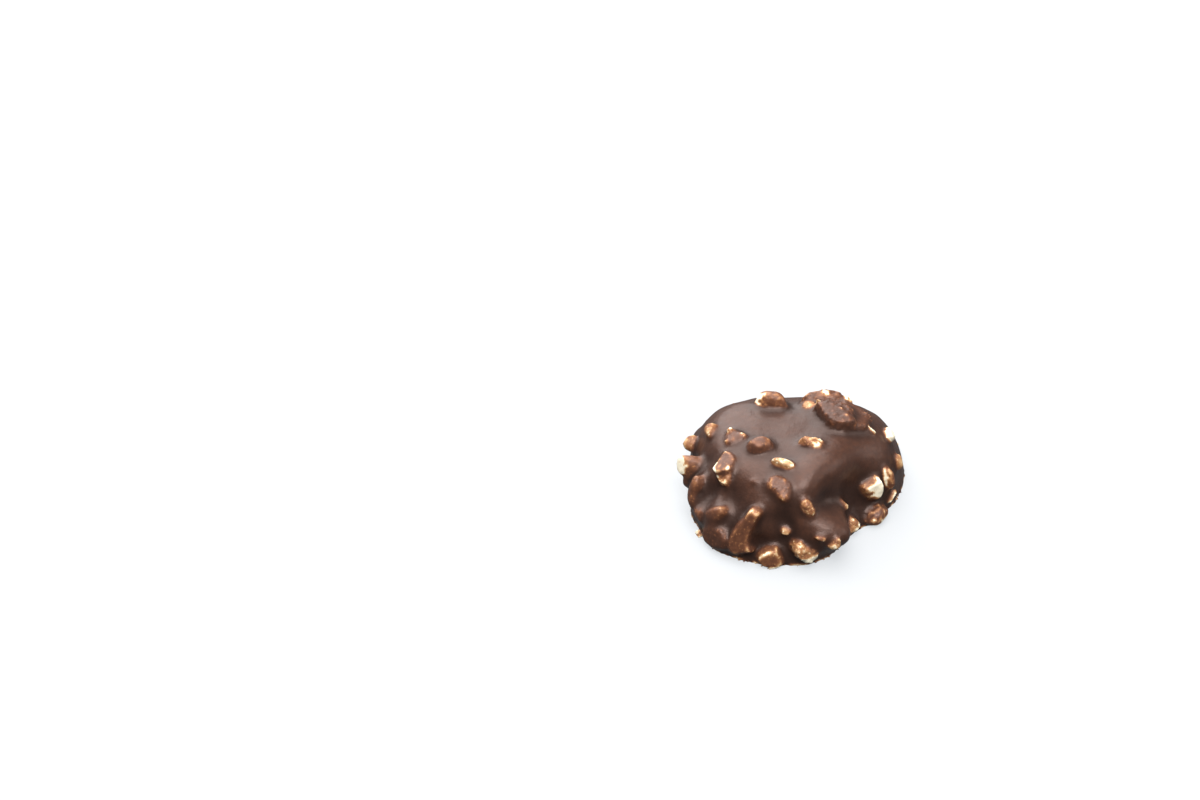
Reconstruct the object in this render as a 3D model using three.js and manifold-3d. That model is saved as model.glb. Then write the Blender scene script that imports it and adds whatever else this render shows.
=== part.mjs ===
// A bite-sized chocolate gingerbread with chopped almonds: one domed biscuit on a flat foot, with
// about eighty broken almond pieces standing out of its chocolate coat. Units are millimetres, +Z
// is up, and the origin is under the middle of its extents, on the plane it stands on. The side that
// the photograph shows faces -Y.
import * as THREE from "three";
import { mergeVertices } from "three/addons/utils/BufferGeometryUtils.js";
import Module from "manifold-3d";

// Driving dimensions. Round the biscuit, every 30 degrees from +X, the dough has a radius at the foot
// and an exponent for its side profile: a higher one makes a steeper flank with a flatter top.
const domeHeight = 18.2;
const footRadii = [21.7, 26.2, 24, 22.6, 23.4, 24.4, 22.8, 23.3, 23.9, 22.4, 17.2, 17.5];
const flankSquareness = [3.2, 3.1, 2.9, 3.2, 4.2, 5.4, 6, 5, 3.9, 3.4, 3.1, 3];
const footFlare = 0.7; // how far the chocolate spreads where it met the belt
const flareHeight = 0.8;
const ripples = [
  { waves: 5, depth: 0.3, phase: 0.6 },
  { waves: 9, depth: 0.2, phase: 2.1 },
  { waves: 14, depth: 0.15, phase: 4.0 },
];

// The dough's mesh
const spokes = 96;
const rings = 24;
const ringCrowding = 1.3; // puts more of the rings near the foot

// Rounded swells and hollows, where almonds lie wholly under the chocolate or leave a dip between
// them. bearing is in degrees from +X, and rise goes from 0 at the foot to 1 at the top.
const swells = [
  { bearing: 279, rise: 0.26, height: 1.6, spread: 2.8 },
  { bearing: 288, rise: 0.21, height: 5.2, spread: 3.1 },
  { bearing: 288, rise: 0.44, height: -2.6, spread: 2.7 },
  { bearing: 318, rise: 0.36, height: -1.8, spread: 3.2 },
  { bearing: 318, rise: 0.16, height: -1.6, spread: 2.4 },
  { bearing: 276, rise: 0.63, height: 1.6, spread: 3.2 },
  { bearing: 297, rise: 0.66, height: 2.6, spread: 3.6 },
  { bearing: 326, rise: 0.66, height: 1.5, spread: 3.2 },
  { bearing: 249, rise: 0.15, height: -2.0, spread: 2.2 },
  { bearing: 259, rise: 0.36, height: -1.8, spread: 2.2 },
  { bearing: 264, rise: 0.2, height: -1.6, spread: 2.0 },
  { bearing: 226, rise: 0.45, height: -1.4, spread: 2.8 },
  { bearing: 192, rise: 0.5, height: -1.2, spread: 2.4 },
  { bearing: 197, rise: 0.22, height: 2.0, spread: 2.5 },
  { bearing: 209, rise: 0.36, height: -1.2, spread: 2.0 },
  { bearing: 209, rise: 0.15, height: 1.4, spread: 2.2 },
  { bearing: 221, rise: 0.25, height: 2.0, spread: 2.4 },
  { bearing: 223, rise: 0.08, height: 1.2, spread: 2.6 },
  { bearing: 334, rise: 0.07, height: 0.9, spread: 2.0 },
  { bearing: 36, rise: 0.74, height: 0.8, spread: 4.5 },
  { bearing: 2, rise: 0.5, height: 1.0, spread: 3.8 },
  { bearing: 112, rise: 0.8, height: -0.6, spread: 6.0 },
  { bearing: 62, rise: 0.25, height: 1.5, spread: 2.4 },
  { bearing: 96, rise: 0.14, height: 1.3, spread: 2.2 },
  { bearing: 118, rise: 0.3, height: 1.2, spread: 2.6 },
  { bearing: 146, rise: 0.18, height: 1.6, spread: 2.2 },
];

// How a piece of almond is cut: its top is drawn in by a share in top, and stands between the two
// shares in crown of its full height, highest on the side that high gives in degrees from level, or
// else on a random one. A shoulder makes it round.
const cuts = {
  chunk: { top: [0.7, 0.92], crown: [0.62, 1] },
  slice: { top: [0.88, 0.94], crown: [0.92, 1] },
  pebble: { top: [0.45, 0.6], crown: [0.94, 1], shoulder: { width: 0.86, height: 0.74 } },
  ledge: { top: [0.88, 0.94], crown: [0.2, 1], high: -70 },
  log: { top: [0.84, 0.9], crown: [0.6, 1], high: 180 },
};
const waist = { width: 1.04, height: 0.35 };
const seat = 3; // how deep a piece sits in the dough

// Pieces that have a size instead of an outline get corners round an oval, each moved along it by up
// to a share of one step, and in or out by a share in spread
const oval = { chunk: 5, slice: 6, pebble: 7, ledge: 6, log: 8 };
const cornerJitter = 0.5;
const spread = [0.88, 1.12];

// The pieces that the photograph shows. proud is how far one stands out, and its outline is seen from
// outside, with x level and y up the flank. size is [length, width], and turn is from level.
const shownAlmonds = [
  // on the flat top
  {
    cut: "pebble", bearing: 119.5, rise: 0.87, proud: 3.3,
    outline: [[2.7, -1], [1.9, 0.7], [-0.1, 2.2], [-1.6, 2.8], [-2.2, 2.4],
      [-2.8, 0.4], [-2.2, -0.8], [0.1, -2.5], [1.3, -3], [2.4, -2.6]],
  },
  {
    cut: "pebble", bearing: 73.5, rise: 0.84, proud: 1.1,
    outline: [[0.8, 1.4], [-0.2, 1.6], [-1.1, 0.8], [-1.2, -0.5], [-0.3, -1.4], [1, -0.6], [1.2, 0.7]],
  },
  {
    cut: "pebble", bearing: 182, rise: 0.83, proud: 1.6,
    outline: [[0.7, -0.5], [0.7, 0.4], [-0.1, 1], [-0.7, 0.7], [-0.6, -0.2], [-0.2, -0.7]],
  },
  {
    cut: "slice", bearing: 189, rise: 0.85, proud: 0.9,
    outline: [[1.5, -1.6], [1.5, 0], [1.3, 1.8], [-0.9, 1.4], [-1.4, 0.2], [-0.5, -1.4]],
  },
  {
    cut: "chunk", bearing: 191, rise: 0.9, proud: 1.4,
    outline: [[0.4, -0.8], [0.8, -0.1], [0.4, 0.6], [-0.3, 0.1], [-0.7, -0.6]],
  },
  {
    cut: "chunk", bearing: 192, rise: 0.78, proud: 1.2,
    outline: [[0.1, -0.3], [0.4, 0.1], [0, 0.6], [-0.4, 0.2], [-0.3, -0.5]],
  },
  {
    cut: "pebble", bearing: 214, rise: 0.91, proud: 2.4,
    outline: [[-0.2, -2.4], [1, -1.9], [1.8, -0.8], [2.1, 0.8], [1.8, 2], [0.9, 2.6],
      [-0.3, 2.5], [-1.4, 1.7], [-1.8, 0.4], [-2, -1.1], [-1.6, -2]],
  },
  {
    cut: "chunk", bearing: 289, rise: 0.89, proud: 2,
    outline: [[-1.7, 0.2], [-0.8, -0.8], [0.1, -2], [1.1, -1.8], [2.1, -1],
      [2.4, 0.4], [1, 1.4], [-1.2, 1.9], [-2.4, 1.3]],
  },
  {
    cut: "pebble", bearing: 251, rise: 0.81, proud: 1.9,
    outline: [[-1.7, -0.4], [-0.4, -0.7], [1.2, -0.9], [2.4, -0.6], [2.6, 0],
      [1.9, 0.8], [0.7, 1.1], [-0.8, 1.1], [-2.2, 0.9], [-2.7, 0.2]],
  },
  // the ridge at the back right
  {
    cut: "slice", bearing: 23, rise: 0.89, proud: 2.9,
    outline: [[4.5, 2.8], [3.1, 2.8], [0.1, 2.8], [-2.4, 2.6], [-3.6, 1.5], [-4.4, 0.1],
      [-4.7, -1.4], [-4.3, -2.8], [-2.1, -2.8], [0, -2], [2.2, -0.7], [3.9, 1.1]],
  },
  {
    cut: "chunk", bearing: 61, rise: 0.77, proud: 3.1,
    outline: [[3, 2.3], [1.6, 1.8], [-0.5, 1.2], [-3, 0.2], [-4.3, -1.9], [-3.3, -2.9],
      [-1.5, -2.7], [1.2, -1.5], [2.6, -0.1], [3.5, 1.4], [4.1, 2.7]],
  },
  {
    cut: "slice", bearing: 24, rise: 0.77, proud: 1.2,
    outline: [[2.6, 2.7], [0.6, 2.6], [-1.9, 2.3], [-4.4, 2], [-4.6, -0.2],
      [-2.4, -2.2], [0, -2.5], [2.1, -1.8], [3.6, -0.1], [4.5, 0.9]],
  },
  { cut: "slice", bearing: 30, rise: 0.87, proud: 3.1, size: [8, 4], turn: 31 },
  { cut: "chunk", bearing: 22, rise: 0.876, proud: 3.7, size: [1.6, 1.1], turn: 40 },
  { cut: "chunk", bearing: 10, rise: 0.857, proud: 3.5, size: [1.6, 0.9], turn: 60 },
  { cut: "chunk", bearing: 5, rise: 0.795, proud: 2.8, size: [1.7, 1.1], turn: 20 },
  {
    cut: "chunk", bearing: 60.5, rise: 0.845, proud: 2.7,
    outline: [[0, 0.4], [-0.8, 0.5], [-0.6, -0.1], [-0.1, -0.6], [0.9, 0.1]],
  },
  { cut: "chunk", bearing: 58, rise: 0.77, proud: 3.3, size: [3, 2], turn: 25 },
  { cut: "chunk", bearing: 42, rise: 0.72, proud: 2, size: [2.8, 2.2], turn: 140 },
  {
    cut: "pebble", bearing: 20, rise: 0.7, proud: 2.2,
    outline: [[0, 0.4], [-1, -0.7], [-1.2, -1.2], [-0.3, -0.2], [0.6, 0.8], [0.9, 1.5]],
  },
  {
    cut: "chunk", bearing: 7, rise: 0.66, proud: 1.2,
    outline: [[0, 0.2], [-0.7, -0.9], [-0.5, -1.1], [0.4, 0.1], [0.8, 1.3]],
  },
  // the left flank
  {
    cut: "pebble", bearing: 172, rise: 0.66, proud: 1.9,
    outline: [[0.9, -1.3], [1.9, -0.5], [1.3, 0.5], [0.2, 1.2],
      [-0.9, 1.4], [-1.6, 0.3], [-1.4, -0.9], [-0.3, -1.6]],
  },
  {
    cut: "ledge", bearing: 208, rise: 0.64, proud: 2.4,
    outline: [[-2.1, 0.8], [-1.2, -0.9], [-0.4, -2.3], [1.1, -2.4], [2.4, -1],
      [2.7, 0.5], [0.8, 2.8], [-1.3, 2.5], [-2.3, 2.2]],
  },
  {
    cut: "chunk", bearing: 214, rise: 0.56, proud: 1.2,
    outline: [[0, -1.3], [1.6, -1.2], [1.7, 0.4], [0.9, 1.4], [0, 0.5], [-1.5, -0.8]],
  },
  {
    cut: "pebble", bearing: 166, rise: 0.36, proud: 2.8,
    outline: [[0.6, -1.8], [1.1, -1.3], [1.2, -0.3], [-0.1, 1.2], [-1.2, 1.7], [-1, 0], [-0.4, -1.4]],
  },
  { cut: "log", bearing: 184.5, rise: 0.33, proud: 4.8, size: [5.6, 4], turn: 95 },
  { cut: "pebble", bearing: 185.5, rise: 0.21, proud: 2.2, size: [4.6, 3.2], turn: 80 },
  {
    cut: "pebble", bearing: 200.5, rise: 0.28, proud: 1.3,
    outline: [[-1.5, 3.2], [-1.7, 1.8], [-1.9, -0.7], [-1.2, -3], [0.2, -3.8],
      [1.6, -3.5], [1.5, -2], [0.8, 0], [0.7, 2.2], [-0.4, 3.5]],
  },
  {
    cut: "pebble", bearing: 211, rise: 0.175, proud: 0.7,
    outline: [[-0.9, -1.2], [1.4, -1.1], [1.7, 0.1], [0.6, 1.7], [-1.6, 0.7], [-2.3, -0.7]],
  },
  {
    cut: "pebble", bearing: 221.5, rise: 0.28, proud: 0.6,
    outline: [[-1.3, -2.7], [0, -2.4], [1.4, -0.4], [2.3, 1.5],
      [1.6, 2.6], [0.2, 2.1], [-1.2, 0.7], [-2.6, -0.8]],
  },
  {
    cut: "chunk", bearing: 211, rise: 0, proud: 1.4,
    outline: [[0.4, -1.6], [1.3, -1.4], [1, -0.4], [-0.3, 0.3], [-0.9, -1.1]],
  },
  // the front
  {
    cut: "slice", bearing: 253, rise: 0.63, proud: 1.2,
    outline: [[-1.7, -0.8], [-0.2, -1.1], [0.4, -2.2], [1.5, -2.6], [2.4, -2.2], [2.3, -0.5],
      [2.4, 0.8], [0.8, 2.3], [0, 2.2], [-1.1, 2.5], [-2.2, 2], [-2.6, 0.2]],
  },
  {
    cut: "pebble", bearing: 272, rise: 0.48, proud: 1.6,
    outline: [[-1.4, -0.1], [-0.4, -1.3], [0.6, -2.1], [1.4, -1.7],
      [1.5, -0.6], [0.3, 1.2], [-0.6, 1.8], [-1.4, 1.1]],
  },
  {
    cut: "slice", bearing: 225, rise: 0.12, proud: 0.9,
    outline: [[-2.4, -2.4], [0, -2.7], [3.1, -1.4], [3.4, 1.1],
      [1.6, 2.9], [-1.3, 1.9], [-3.3, 0.5], [-3.4, -1.4]],
  },
  {
    cut: "slice", bearing: 239, rise: 0.25, proud: 1.9,
    outline: [[-0.3, 3.4], [-1.5, 1.5], [-2.4, -0.9], [-2.6, -3.6], [-2.4, -5.4],
      [-1.1, -5.7], [1.4, -4.5], [2.7, -4], [1.3, -2.3], [1.3, -0.5],
      [1.8, 1.7], [2.3, 3.5], [2.8, 5.2], [1, 5.8], [0.3, 5.3]],
  },
  {
    cut: "slice", bearing: 254, rise: 0.06, proud: 2.4,
    outline: [[-2.3, -1.2], [-1, -2.1], [0.8, -2.4], [2, -1.6], [2.7, -0.8], [2.2, 0.3],
      [1.5, 1.5], [1, 2.6], [-1.2, 2], [-2.5, 0.9], [-3, -0.2]],
  },
  {
    cut: "chunk", bearing: 271, rise: 0.135, proud: 2.6,
    outline: [[-2.3, -0.2], [-1.3, -1.3], [0, -2], [1.1, -2.7], [2.4, -1.8], [2.8, -0.8],
      [2.5, 0.2], [1.4, 0.9], [0.2, 1.5], [-0.9, 2.3], [-2, 2.1], [-2.6, 0.9]],
  },
  {
    cut: "chunk", bearing: 261, rise: 0.268, proud: 1.4,
    outline: [[-1, -0.5], [0.2, -0.8], [1.1, 0.4], [-0.3, 0.9], [-1.1, 0.8]],
  },
  {
    cut: "pebble", bearing: 234, rise: 0.66, proud: 0.5,
    outline: [[-0.4, -0.8], [0.5, -0.4], [1.1, 0.4], [0.8, 0.8], [-0.3, 0.3], [-0.8, -0.6]],
  },
  // the right flank
  {
    cut: "chunk", bearing: 306, rise: 0.298, proud: 1.4,
    outline: [[-0.8, 0.3], [-0.3, -1], [0.4, -1.4], [0.7, -0.3], [-0.1, 1.1], [-1, 1.5]],
  },
  {
    cut: "chunk", bearing: 311, rise: 0.09, proud: 2.2,
    outline: [[-1, -1.5], [0.4, -1.6], [1.4, -1.5], [2, -0.4],
      [1.4, 0.8], [0.4, 1.5], [-1.1, 0.8], [-2.2, -1.2]],
  },
  {
    cut: "chunk", bearing: 276, rise: 0.244, proud: 1.4,
    outline: [[0.2, -0.6], [0.8, 0.1], [0.2, 0.7], [-1.1, 0.6], [-1.3, 0.2]],
  },
  {
    cut: "chunk", bearing: 280, rise: 0.205, proud: 1.7,
    outline: [[-0.9, -1.3], [0.2, -1.5], [0.9, -0.4], [0.8, 1], [0.4, 1.5], [-0.4, 0.6], [-1.2, -0.7]],
  },
  {
    cut: "chunk", bearing: 337, rise: 0.26, proud: 2.8,
    outline: [[-2.4, 1.1], [-2, -0.2], [-1.4, -1.5], [-0.4, -2.2], [0.8, -2.5], [1.5, -1.8], [2.1, -0.4],
      [2.1, 1.2], [1.8, 2.3], [1.1, 2.8], [-0.2, 2.5], [-1.4, 2.3], [-2.5, 2.1]],
  },
  {
    cut: "pebble", bearing: 333, rise: 0.06, proud: 2.9,
    outline: [[-2.1, -1.5], [-0.8, -2.1], [0.6, -1.7], [2.5, -1.7], [3.3, -0.6],
      [3.3, 0.7], [2.4, 0.7], [1, 2], [-1.3, 1.4], [-2.8, -0.3]],
  },
  {
    cut: "pebble", bearing: 349, rise: 0.29, proud: 2,
    outline: [[-0.6, 1.9], [-1, 0.4], [-1, -1.4], [-0.8, -2.7], [0.2, -2.5],
      [1, -1.8], [1.2, -0.5], [1.3, 1.3], [1, 2.3], [-0.1, 2.8]],
  },
  {
    cut: "chunk", bearing: 350, rise: 0.11, proud: 1.5,
    outline: [[-1.1, -1.1], [-0.4, -0.7], [0.7, 0.1], [1.2, 0.9], [0.5, 0.9], [-0.4, 0.1], [-1.5, -1]],
  },
  {
    cut: "pebble", bearing: 4, rise: 0.3, proud: 1.5,
    outline: [[-0.7, 0.6], [-1.1, -0.7], [-0.7, -1.9], [0.3, -1.9], [0.9, -0.4], [1.1, 1.4], [0.2, 1.7]],
  },
  {
    cut: "chunk", bearing: 13, rise: 0.5, proud: 1.6,
    outline: [[-1.9, 1], [-1.9, -0.1], [-0.7, -1.6], [0.5, -1.7], [1.6, -0.7], [1.4, 0.8], [-0.2, 1.7]],
  },
];

// The hidden back gets pieces of the same sizes by a rule, the higher the flatter
const back = {
  pieces: 30,
  seed: 11,
  bearings: [36, 142],
  rises: [0.05, 0.36],
  lengths: [2.6, 5.6],
  slenderness: [0.55, 0.8],
  leastProud: 1.1,
  extraProud: 1.3,
  cuts: ["chunk", "pebble", "chunk", "chunk", "slice", "chunk"],
};

const radians = THREE.MathUtils.degToRad;
const between = ([low, high], share) => THREE.MathUtils.lerp(low, high, share);

// Repeatable random numbers from 0 to 1, by a linear congruential generator
function randomFrom(seed) {
  const modulus = 2 ** 32;
  let state = seed * 7919 + 12345;
  return () => {
    state = (state * 1664525 + 1013904223) % modulus;
    return state / modulus;
  };
}

// A value at a bearing, on a smooth closed curve through a list of values
function around(values, bearing) {
  const step = 360 / values.length;
  const place = (((bearing % 360) + 360) % 360) / step;
  const from = Math.floor(place);
  const s = place - from;
  const [a, b, c, d] = [-1, 0, 1, 2].map((k) => values[(from + k + values.length) % values.length]);
  return b + 0.5 * s * (c - a + s * (2 * a - 5 * b + 4 * c - d + s * (3 * (b - c) + d - a)));
}

// A point of the plain dome, before its swells
function domePoint(bearing, rise) {
  const angle = radians(bearing);
  const lift = (rise * Math.PI) / 2;
  const height = domeHeight * Math.sin(lift);
  let radius = around(footRadii, bearing) * Math.cos(lift) ** (2 / around(flankSquareness, bearing));
  for (const { waves, depth, phase } of ripples) {
    radius += depth * Math.sin(waves * angle + phase + 2 * rise) * Math.cos(lift) ** 2;
  }
  radius += footFlare * Math.exp(-height / flareHeight);
  return new THREE.Vector3(radius * Math.cos(angle), radius * Math.sin(angle), height);
}

// The frame of a place on the dome: x level, y up the flank, z outwards
function domeFrame(bearing, rise) {
  const turnStep = 0.5;
  const riseStep = 0.01;
  const level = domePoint(bearing + turnStep, rise).sub(domePoint(bearing - turnStep, rise));
  const up = domePoint(bearing, rise + riseStep).sub(domePoint(bearing, rise - riseStep));
  const out = level.cross(up).normalize();
  const angle = radians(bearing);
  const x = new THREE.Vector3(-Math.sin(angle), Math.cos(angle), 0).projectOnPlane(out).normalize();
  return new THREE.Matrix4().makeBasis(x, out.clone().cross(x), out).setPosition(domePoint(bearing, rise));
}

const swellCentres = swells.map(({ bearing, rise }) => domePoint(bearing, rise));

// How far the swells lift the surface at a point of the dome
function swellAt(point) {
  return swells.reduce((sum, swell, k) => {
    const distance = point.distanceTo(swellCentres[k]);
    return sum + swell.height * Math.exp(-0.5 * (distance / swell.spread) ** 2);
  }, 0);
}

// The same frame moved out onto the swollen surface
function doughFrame(bearing, rise) {
  const frame = domeFrame(bearing, rise);
  const point = new THREE.Vector3().setFromMatrixPosition(frame);
  return frame.multiply(new THREE.Matrix4().makeTranslation(0, 0, swellAt(point)));
}

function doughPoint(bearing, rise) {
  const point = new THREE.Vector3().setFromMatrixPosition(doughFrame(bearing, rise));
  return rise === 0 ? point.setZ(0) : point;
}

// The domed biscuit: rings from the foot to the top, closed by a flat bottom
function makeDough() {
  const points = [];
  const faces = [];
  for (let ring = 0; ring < rings; ring++) {
    for (let spoke = 0; spoke < spokes; spoke++) {
      points.push(...doughPoint((360 * spoke) / spokes, (ring / rings) ** ringCrowding).toArray());
    }
  }
  const top = points.length / 3;
  const bottom = top + 1;
  points.push(0, 0, domeHeight, 0, 0, 0);
  for (let spoke = 0; spoke < spokes; spoke++) {
    const next = (spoke + 1) % spokes;
    for (let ring = 0; ring < rings - 1; ring++) {
      const low = ring * spokes;
      const high = low + spokes;
      faces.push(low + spoke, low + next, high + next, low + spoke, high + next, high + spoke);
    }
    const last = (rings - 1) * spokes;
    faces.push(last + spoke, last + next, top, next, spoke, bottom);
  }
  const dough = new THREE.BufferGeometry();
  dough.setAttribute("position", new THREE.Float32BufferAttribute(points, 3));
  dough.setIndex(faces);
  return dough;
}

// Corners round an oval, for a piece without an outline of its own
function ovalOutline(cut, [length, width], turn, random) {
  const corners = oval[cut];
  return Array.from({ length: corners }, (_, k) => {
    const angle = (2 * Math.PI * (k + cornerJitter * random())) / corners;
    const reach = 0.5 * between(spread, random());
    const corner = new THREE.Vector2(length * reach * Math.cos(angle), width * reach * Math.sin(angle));
    return corner.rotateAround(new THREE.Vector2(), radians(turn)).toArray();
  });
}

// A broken piece: its outline at the seat and the waist, then drawn in to the top
function makePiece(cut, proud, outline, random) {
  const { top, crown, shoulder, high } = cuts[cut];
  const drawnSide = 2 * Math.PI * random();
  const highSide = high === undefined ? drawnSide : radians(high);
  const level = (width, height) => outline.map(([x, y]) => new THREE.Vector3(width * x, width * y, height));
  const levels = [level(1, -seat), level(waist.width, waist.height * proud)];
  if (shoulder) levels.push(level(shoulder.width, shoulder.height * proud));
  levels.push(
    outline.map(([x, y]) => {
      const drawnIn = between(top, random());
      const share = 0.5 + 0.5 * Math.cos(Math.atan2(y, x) - highSide);
      return new THREE.Vector3(drawnIn * x, drawnIn * y, between(crown, share) * proud);
    }),
  );
  const corners = outline.length;
  const lid = THREE.ShapeUtils.triangulateShape(outline.map(([x, y]) => new THREE.Vector2(x, y)), []);
  const faces = lid.map(([a, b, c]) => [c, b, a]);
  for (let low = 0; low < (levels.length - 1) * corners; low += corners) {
    for (let k = 0; k < corners; k++) {
      const [a, b] = [low + k, low + ((k + 1) % corners)];
      faces.push([a, b, b + corners], [a, b + corners, a + corners]);
    }
  }
  const lastLevel = (levels.length - 1) * corners;
  faces.push(...lid.map((face) => face.map((k) => lastLevel + k)));
  const piece = new THREE.BufferGeometry().setFromPoints(levels.flat());
  piece.setIndex(faces.flat());
  return piece;
}

// A piece set on the dough
function makeAlmond({ cut, bearing, rise, proud, outline, size, turn }, seed) {
  const random = randomFrom(seed);
  const corners = outline ?? ovalOutline(cut, size, turn, random);
  return makePiece(cut, proud, corners, random).applyMatrix4(doughFrame(bearing, rise));
}

// The back's pieces, spread by the golden ratio so that none share a place
function hiddenAlmonds() {
  const random = randomFrom(back.seed);
  const golden = (Math.sqrt(5) - 1) / 2;
  return Array.from({ length: back.pieces }, (_, k) => {
    const place = (k + 0.5) / back.pieces;
    const length = between(back.lengths, random());
    const width = length * between(back.slenderness, random());
    return {
      cut: back.cuts[k % back.cuts.length],
      bearing: between(back.bearings, (k * golden) % 1),
      rise: between(back.rises, place),
      proud: back.leastProud + back.extraProud * (1 - place) * random(),
      size: [length, width],
      turn: 180 * random(),
    };
  });
}

const wasm = await Module();
wasm.setup();

function solidOf(geometry) {
  const plain = new THREE.BufferGeometry();
  plain.setAttribute("position", geometry.getAttribute("position"));
  if (geometry.index) plain.setIndex(geometry.index);
  const merged = mergeVertices(plain);
  const vertProperties = new Float32Array(merged.getAttribute("position").array);
  const triVerts = new Uint32Array(merged.index.array);
  return new wasm.Manifold(new wasm.Mesh({ numProp: 3, vertProperties, triVerts }));
}

function geometryOf(solid) {
  const { vertProperties, triVerts } = solid.getMesh();
  const shared = new THREE.BufferGeometry();
  shared.setAttribute("position", new THREE.BufferAttribute(new Float32Array(vertProperties), 3));
  shared.setIndex(new THREE.BufferAttribute(new Uint32Array(triVerts), 1));
  const faceted = shared.toNonIndexed();
  faceted.computeVertexNormals();
  return faceted;
}

// Dough and almonds become one solid, cut flat where it stands and moved over the origin
function makeGingerbread() {
  let solid = solidOf(makeDough());
  [...shownAlmonds, ...hiddenAlmonds()].forEach((almond, k) => {
    solid = solid.add(solidOf(makeAlmond(almond, k + 1)));
  });
  const depth = 10;
  const below = new THREE.BoxGeometry(100, 100, depth).translate(0, 0, -depth / 2);
  const biscuit = geometryOf(solid.subtract(solidOf(below)));
  biscuit.computeBoundingBox();
  const middle = biscuit.boundingBox.getCenter(new THREE.Vector3());
  return biscuit.translate(-middle.x, -middle.y, 0);
}

const chocolate = new THREE.MeshStandardMaterial({ color: "#4a342b", roughness: 0.42, metalness: 0 });
const gingerbread = new THREE.Mesh(makeGingerbread(), chocolate);
gingerbread.name = "gingerbread";

const model = new THREE.Group();
model.add(gingerbread);
export default model;
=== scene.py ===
# Chocolate almond gingerbread: a poured chocolate coat over the dough and its chopped almonds
import math

import bpy
import numpy as np
from mathutils import Matrix, Vector, noise
from mathutils.bvhtree import BVHTree


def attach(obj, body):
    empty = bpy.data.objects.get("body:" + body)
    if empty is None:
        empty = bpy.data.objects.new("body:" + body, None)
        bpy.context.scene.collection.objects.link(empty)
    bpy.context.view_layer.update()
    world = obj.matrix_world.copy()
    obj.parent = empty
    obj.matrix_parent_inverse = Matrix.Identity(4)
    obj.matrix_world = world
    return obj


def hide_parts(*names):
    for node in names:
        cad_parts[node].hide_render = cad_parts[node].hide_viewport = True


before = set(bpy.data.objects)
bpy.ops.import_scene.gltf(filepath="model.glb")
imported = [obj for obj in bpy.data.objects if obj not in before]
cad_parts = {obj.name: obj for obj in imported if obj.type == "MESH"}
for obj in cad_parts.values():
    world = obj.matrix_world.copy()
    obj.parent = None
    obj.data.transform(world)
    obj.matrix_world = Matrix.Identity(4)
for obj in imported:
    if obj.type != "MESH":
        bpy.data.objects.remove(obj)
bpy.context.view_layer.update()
mm = 0.001

# small helpers


def lerp(pair, share):
    return pair[0] + (pair[1] - pair[0]) * share


def smoothstep(low, high, values):
    t = np.clip((values - low) / (high - low), 0, 1)
    return t * t * (3 - 2 * t)


def randomFrom(seed):  # repeatable numbers from 0 to 1
    state = seed * 7919 + 12345

    def draw():
        nonlocal state
        state = (state * 1664525 + 1013904223) % 2**32
        return state / 2**32

    return draw


def selectOnly(obj):
    bpy.ops.object.select_all(action="DESELECT")
    obj.select_set(True)
    bpy.context.view_layer.objects.active = obj


def applyModifier(obj, kind, **settings):
    selectOnly(obj)
    modifier = obj.modifiers.new(kind.title(), kind)
    for name, value in settings.items():
        setattr(modifier, name, value)
    bpy.ops.object.modifier_apply(modifier=modifier.name)


def joinAll(objects, name):
    bpy.ops.object.select_all(action="DESELECT")
    for obj in objects:
        obj.select_set(True)
    bpy.context.view_layer.objects.active = objects[0]
    bpy.ops.object.join()
    objects[0].name = name
    return objects[0]


def cutAtFloor(obj):
    selectOnly(obj)
    bpy.ops.object.mode_set(mode="EDIT")
    bpy.ops.mesh.select_all(action="SELECT")
    bpy.ops.mesh.bisect(plane_co=(0, 0, 0), plane_no=(0, 0, 1), use_fill=True, clear_inner=True,
                        threshold=1e-6)
    bpy.ops.object.mode_set(mode="OBJECT")


def pointsOf(obj):
    flat = np.empty(len(obj.data.vertices) * 3, np.float32)
    obj.data.vertices.foreach_get("co", flat)
    return flat.reshape(-1, 3).astype(float)


def putPoints(obj, points):
    obj.data.vertices.foreach_set("co", points.astype(np.float32).ravel())
    obj.data.update()


def normalsOf(obj):
    flat = np.empty(len(obj.data.vertices) * 3, np.float32)
    obj.data.vertex_normals.foreach_get("vector", flat)
    return flat.reshape(-1, 3).astype(float)


def edgesOf(obj):
    flat = np.empty(len(obj.data.edges) * 2, np.int32)
    obj.data.edges.foreach_get("vertices", flat)
    return flat.reshape(-1, 2)


def neighbourMean(values, edges):
    ends, others = edges.ravel(), edges[:, ::-1].ravel()
    count = np.maximum(np.bincount(ends, minlength=len(values)), 1)
    sums = [np.bincount(ends, weights=column[others], minlength=len(values)) for column in values.T]
    return np.stack(sums, 1) / count[:, None]


# the dough: a low dome whose foot and flanks change with the bearing

dough = {
    "centre": (0.807, 0.11),  # the dome's axis stands this far from the origin, in mm
    "height": 18.2,
    "footRadii": [21.7, 26.2, 24, 22.6, 23.4, 24.4, 22.8, 23.3, 23.9, 22.4, 17.2, 17.5],
    "squareness": [3.2, 3.1, 2.9, 3.2, 4.2, 5.4, 6, 5, 3.9, 3.4, 3.1, 3],
    "flare": 0.7,
    "flareHeight": 0.8,
    "ripples": [(5, 0.3, 0.6), (9, 0.2, 2.1), (14, 0.15, 4.0)],  # waves, depth, phase
    "segments": 180,
    "rings": 128,
    "below": 1.0,  # the foot goes on below the floor, where the coat is cut off flat
}

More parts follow.
